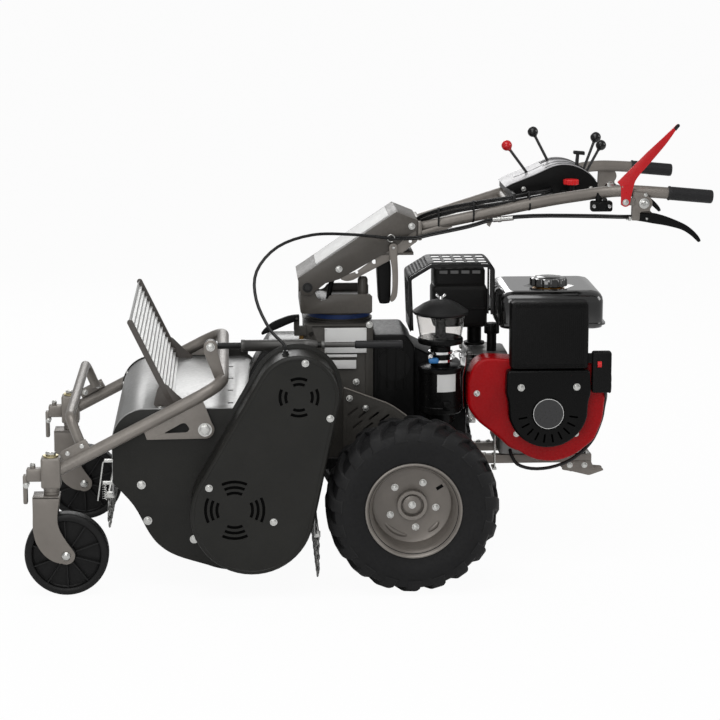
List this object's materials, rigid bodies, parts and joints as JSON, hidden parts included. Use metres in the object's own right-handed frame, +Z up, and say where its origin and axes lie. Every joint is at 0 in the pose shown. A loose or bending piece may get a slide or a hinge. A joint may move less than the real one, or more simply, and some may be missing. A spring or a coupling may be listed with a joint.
{
  "type": "hammer knife mower",
  "caption": "Walk-behind flail mower with a petrol engine, belt-driven knife rotor under a steel deck, front castors and a swivelling handlebar.",
  "frame": {"origin": "on the ground under the middle of the machine's length and width", "axes": "+X to the rear, towards the handles; +Y to the machine's right; +Z up"},
  "size_m": [1.6445, 0.8675, 1.109],
  "materials": {
    "taupe_paint": "satin",
    "charcoal_paint": "satin",
    "cast_housing": "matt",
    "alloy_casting": "matt",
    "black_paint": "satin",
    "black_plastic": "matt",
    "rubber": "matt",
    "tyre": "matt",
    "galvanised": "satin",
    "steel": "satin",
    "red_paint": "gloss",
    "red_plastic": "gloss"
  },
  "bodies": {
    "chassis": {"gearbox_housing": "cast_housing", "drive_case": "black_paint", "side_cover": "charcoal_paint", "engine_frame": "taupe_paint", "crankcase": "alloy_casting", "fan_shroud": "red_paint", "recoil_cover": "black_paint", "muffler": "black_paint", "muffler_guard": "black_paint", "air_cleaner": "black_plastic", "fuel_tank": "black_plastic", "panel_box": "black_plastic", "deck_side_left": "charcoal_paint", "deck_shell": "galvanised", "guard_plate": "steel", "drive_belt": "rubber", "belt_cover": "charcoal_paint", "deck_cable": "rubber"},
    "wheel_left": {"rim_left": "taupe_paint", "tyre_left": "tyre"},
    "wheel_right": {"rim_right": "taupe_paint", "tyre_right": "tyre"},
    "castor_frame": {"castor_frame": "taupe_paint", "bumper_bar": "taupe_paint"},
    "castor_fork_left": {"castor_fork_left": "taupe_paint"},
    "castor_fork_right": {"castor_fork_right": "taupe_paint"},
    "castor_wheel_left": {"castor_wheel_left": "rubber"},
    "castor_wheel_right": {"castor_wheel_right": "rubber"},
    "adjuster_screw": {"adjuster_screw": "black_paint"},
    "adjuster_crank": {"adjuster_crank": "charcoal_paint"},
    "rotor": {"rotor": "black_paint"},
    "knife_row_front": {"knife_row_front": "steel"},
    "knife_row_rear": {"knife_row_rear": "steel"},
    "drive_pulley": {"drive_pulley": "steel"},
    "idler_arm": {"idler_arm": "steel"},
    "idler_pulley": {"idler_pulley": "steel"},
    "flywheel": {"flywheel": "alloy_casting"},
    "starter_grip": {"starter_grip": "black_plastic"},
    "fuel_cap": {"fuel_cap": "black_plastic"},
    "rocker_switch": {"rocker_switch": "red_plastic"},
    "chain_front": {"chain_front": "steel"},
    "chain_rear": {"chain_rear": "steel"},
    "turret": {"turret": "cast_housing"},
    "mast": {"mast": "taupe_paint", "handlebars": "taupe_paint", "console": "black_plastic", "grip_left": "rubber", "grip_right": "rubber", "control_cables": "rubber"},
    "latch_lever": {"latch_lever": "steel"},
    "gear_lever": {"gear_lever": "red_plastic"},
    "speed_lever": {"speed_lever": "black_plastic"},
    "pto_lever": {"pto_lever": "black_plastic"},
    "lock_lever": {"lock_lever": "black_plastic"},
    "throttle_lever": {"throttle_lever": "black_plastic"},
    "dial": {"dial": "red_plastic"},
    "safety_lever": {"safety_lever": "red_plastic"},
    "brake_lever_left": {"brake_lever_left": "black_plastic"},
    "brake_lever_right": {"brake_lever_right": "black_plastic"},
    "hitch_lever": {"hitch_lever": "black_paint"}
  },
  "joints": [
    {"name": "wheel_left_spin", "type": "hinge", "parent": "chassis", "child": "wheel_left", "pos_m": [0.103, -0.345, 0.207], "axis": [0, 1, 0], "continuous": true},
    {"name": "wheel_right_spin", "type": "hinge", "parent": "chassis", "child": "wheel_right", "pos_m": [0.103, 0.345, 0.207], "axis": [0, 1, 0], "continuous": true},
    {"name": "castor_frame_pivot", "type": "hinge", "parent": "chassis", "child": "castor_frame", "pos_m": [-0.3886, 0, 0.3967], "axis": [0, 1, 0], "range_deg": [-5.5, 4]},
    {"name": "castor_left_swivel", "type": "hinge", "parent": "castor_frame", "child": "castor_fork_left", "pos_m": [-0.753, -0.36, 0.2437], "axis": [0, 0, 1], "continuous": true},
    {"name": "castor_right_swivel", "type": "hinge", "parent": "castor_frame", "child": "castor_fork_right", "pos_m": [-0.753, 0.36, 0.2437], "axis": [0, 0, 1], "continuous": true},
    {"name": "castor_left_spin", "type": "hinge", "parent": "castor_fork_left", "child": "castor_wheel_left", "pos_m": [-0.72, -0.36, 0.1], "axis": [0, 1, 0], "continuous": true},
    {"name": "castor_right_spin", "type": "hinge", "parent": "castor_fork_right", "child": "castor_wheel_right", "pos_m": [-0.72, 0.36, 0.1], "axis": [0, 1, 0], "continuous": true},
    {"name": "adjuster_screw_slide", "type": "slide", "parent": "chassis", "child": "adjuster_screw", "axis": [1, 0, 0], "range_m": [-0.0185, 0.0135]},
    {"name": "adjuster_crank_spin", "type": "hinge", "parent": "chassis", "child": "adjuster_crank", "pos_m": [-0.097, -0.288, 0.584], "axis": [1, 0, 0], "range_deg": [-660, 480]},
    {"name": "rotor_spin", "type": "hinge", "parent": "chassis", "child": "rotor", "pos_m": [-0.3203, 0, 0.2177], "axis": [0, 1, 0], "continuous": true},
    {"name": "knife_row_front_swing", "type": "hinge", "parent": "rotor", "child": "knife_row_front", "pos_m": [-0.3883, 0, 0.2177], "axis": [0, 1, 0], "range_deg": [-20, 200]},
    {"name": "knife_row_rear_swing", "type": "hinge", "parent": "rotor", "child": "knife_row_rear", "pos_m": [-0.2523, 0, 0.2177], "axis": [0, 1, 0], "range_deg": [-200, 20]},
    {"name": "drive_pulley_spin", "type": "hinge", "parent": "chassis", "child": "drive_pulley", "pos_m": [-0.1678, -0.396, 0.487], "axis": [0, 1, 0], "continuous": true},
    {"name": "idler_arm_swing", "type": "hinge", "parent": "chassis", "child": "idler_arm", "pos_m": [-0.254, -0.366, 0.3226], "axis": [0, 1, 0], "range_deg": [-8, 0], "stiffness_Nm_per_rad": 5, "springref_deg": 17.19},
    {"name": "idler_pulley_spin", "type": "hinge", "parent": "idler_arm", "child": "idler_pulley", "pos_m": [-0.193, -0.396, 0.3337], "axis": [0, 1, 0], "continuous": true},
    {"name": "flywheel_spin", "type": "hinge", "parent": "chassis", "child": "flywheel", "pos_m": [0.448, -0.12, 0.385], "axis": [0, 1, 0], "continuous": true},
    {"name": "starter_pull", "type": "slide", "parent": "chassis", "child": "starter_grip", "axis": [1, 0, 0], "range_m": [0, 0.095], "stiffness_N_per_m": 150, "springref_m": -0.05},
    {"name": "fuel_cap_turn", "type": "hinge", "parent": "chassis", "child": "fuel_cap", "pos_m": [0.463, -0.045, 0.7], "axis": [0, 0, 1], "range_deg": [0, 90]},
    {"name": "rocker_press", "type": "hinge", "parent": "chassis", "child": "rocker_switch", "pos_m": [0.573, -0.186, 0.511], "axis": [1, 0, 0], "range_deg": [-10, 10]},
    {"name": "chain_front_swing", "type": "hinge", "parent": "chassis", "child": "chain_front", "pos_m": [-0.6215, 0, 0.224], "axis": [0, 1, 0], "range_deg": [-30, 3]},
    {"name": "chain_rear_swing", "type": "hinge", "parent": "chassis", "child": "chain_rear", "pos_m": [-0.1205, 0, 0.12], "axis": [0, 1, 0], "range_deg": [-30, 30]},
    {"name": "turret_swivel", "type": "hinge", "parent": "chassis", "child": "turret", "pos_m": [-0.057, 0, 0.625], "axis": [0, 0, 1], "range_deg": [-30, 30], "deforming": ["deck_cable"]},
    {"name": "mast_tilt", "type": "hinge", "parent": "turret", "child": "mast", "pos_m": [-0.1373, 0, 0.692], "axis": [0, 1, 0], "range_deg": [-20, 4], "deforming": ["deck_cable"]},
    {"name": "latch_swing", "type": "hinge", "parent": "mast", "child": "latch_lever", "pos_m": [0.073, -0.104, 0.79], "axis": [0, 1, 0], "range_deg": [0, 18]},
    {"name": "gear_lever_swing", "type": "hinge", "parent": "mast", "child": "gear_lever", "pos_m": [0.433, 0, 0.93], "axis": [0, 1, 0], "range_deg": [-8, 40]},
    {"name": "speed_lever_swing", "type": "hinge", "parent": "mast", "child": "speed_lever", "pos_m": [0.491, 0.045, 0.94], "axis": [0, 1, 0], "range_deg": [-6, 32]},
    {"name": "pto_lever_swing", "type": "hinge", "parent": "mast", "child": "pto_lever", "pos_m": [0.543, 0.018, 0.935], "axis": [0, 1, 0], "range_deg": [-30, 8]},
    {"name": "lock_lever_swing", "type": "hinge", "parent": "mast", "child": "lock_lever", "pos_m": [0.552, 0.068, 0.923], "axis": [0, 1, 0], "range_deg": [-30, 3]},
    {"name": "throttle_swing", "type": "hinge", "parent": "mast", "child": "throttle_lever", "pos_m": [0.528, -0.035, 0.965], "axis": [0, 1, 0], "range_deg": [-25, 25]},
    {"name": "dial_turn", "type": "hinge", "parent": "mast", "child": "dial", "pos_m": [0.5055, -0.115, 0.937], "axis": [0, 0, 1], "range_deg": [-60, 60]},
    {"name": "safety_lever_press", "type": "hinge", "parent": "mast", "child": "safety_lever", "pos_m": [0.6096, -0.306, 0.924], "axis": [0, 1, 0], "range_deg": [0, 35], "stiffness_Nm_per_rad": 0.8, "springref_deg": -22.92},
    {"name": "brake_left_squeeze", "type": "hinge", "parent": "mast", "child": "brake_lever_left", "pos_m": [0.6638, -0.28, 0.882], "axis": [0, 1, 0], "range_deg": [-15, 0], "stiffness_Nm_per_rad": 0.5, "springref_deg": 17.19},
    {"name": "brake_right_squeeze", "type": "hinge", "parent": "mast", "child": "brake_lever_right", "pos_m": [0.6638, 0.28, 0.882], "axis": [0, 1, 0], "range_deg": [-15, 0], "stiffness_Nm_per_rad": 0.5, "springref_deg": 17.19},
    {"name": "hitch_lever_lift", "type": "hinge", "parent": "chassis", "child": "hitch_lever", "pos_m": [-0.165, -0.125, 0.62], "axis": [0, 1, 0], "range_deg": [0, 25]}
  ],
  "couplings": [
    {"joint": "adjuster_screw_slide", "follows": "castor_frame_pivot", "m_per_rad": 0.1873},
    {"joint": "adjuster_crank_spin", "follows": "castor_frame_pivot", "ratio": 117.68},
    {"joint": "drive_pulley_spin", "follows": "rotor_spin", "ratio": 1.2353},
    {"joint": "idler_pulley_spin", "follows": "rotor_spin", "ratio": 3.8182}
  ]
}
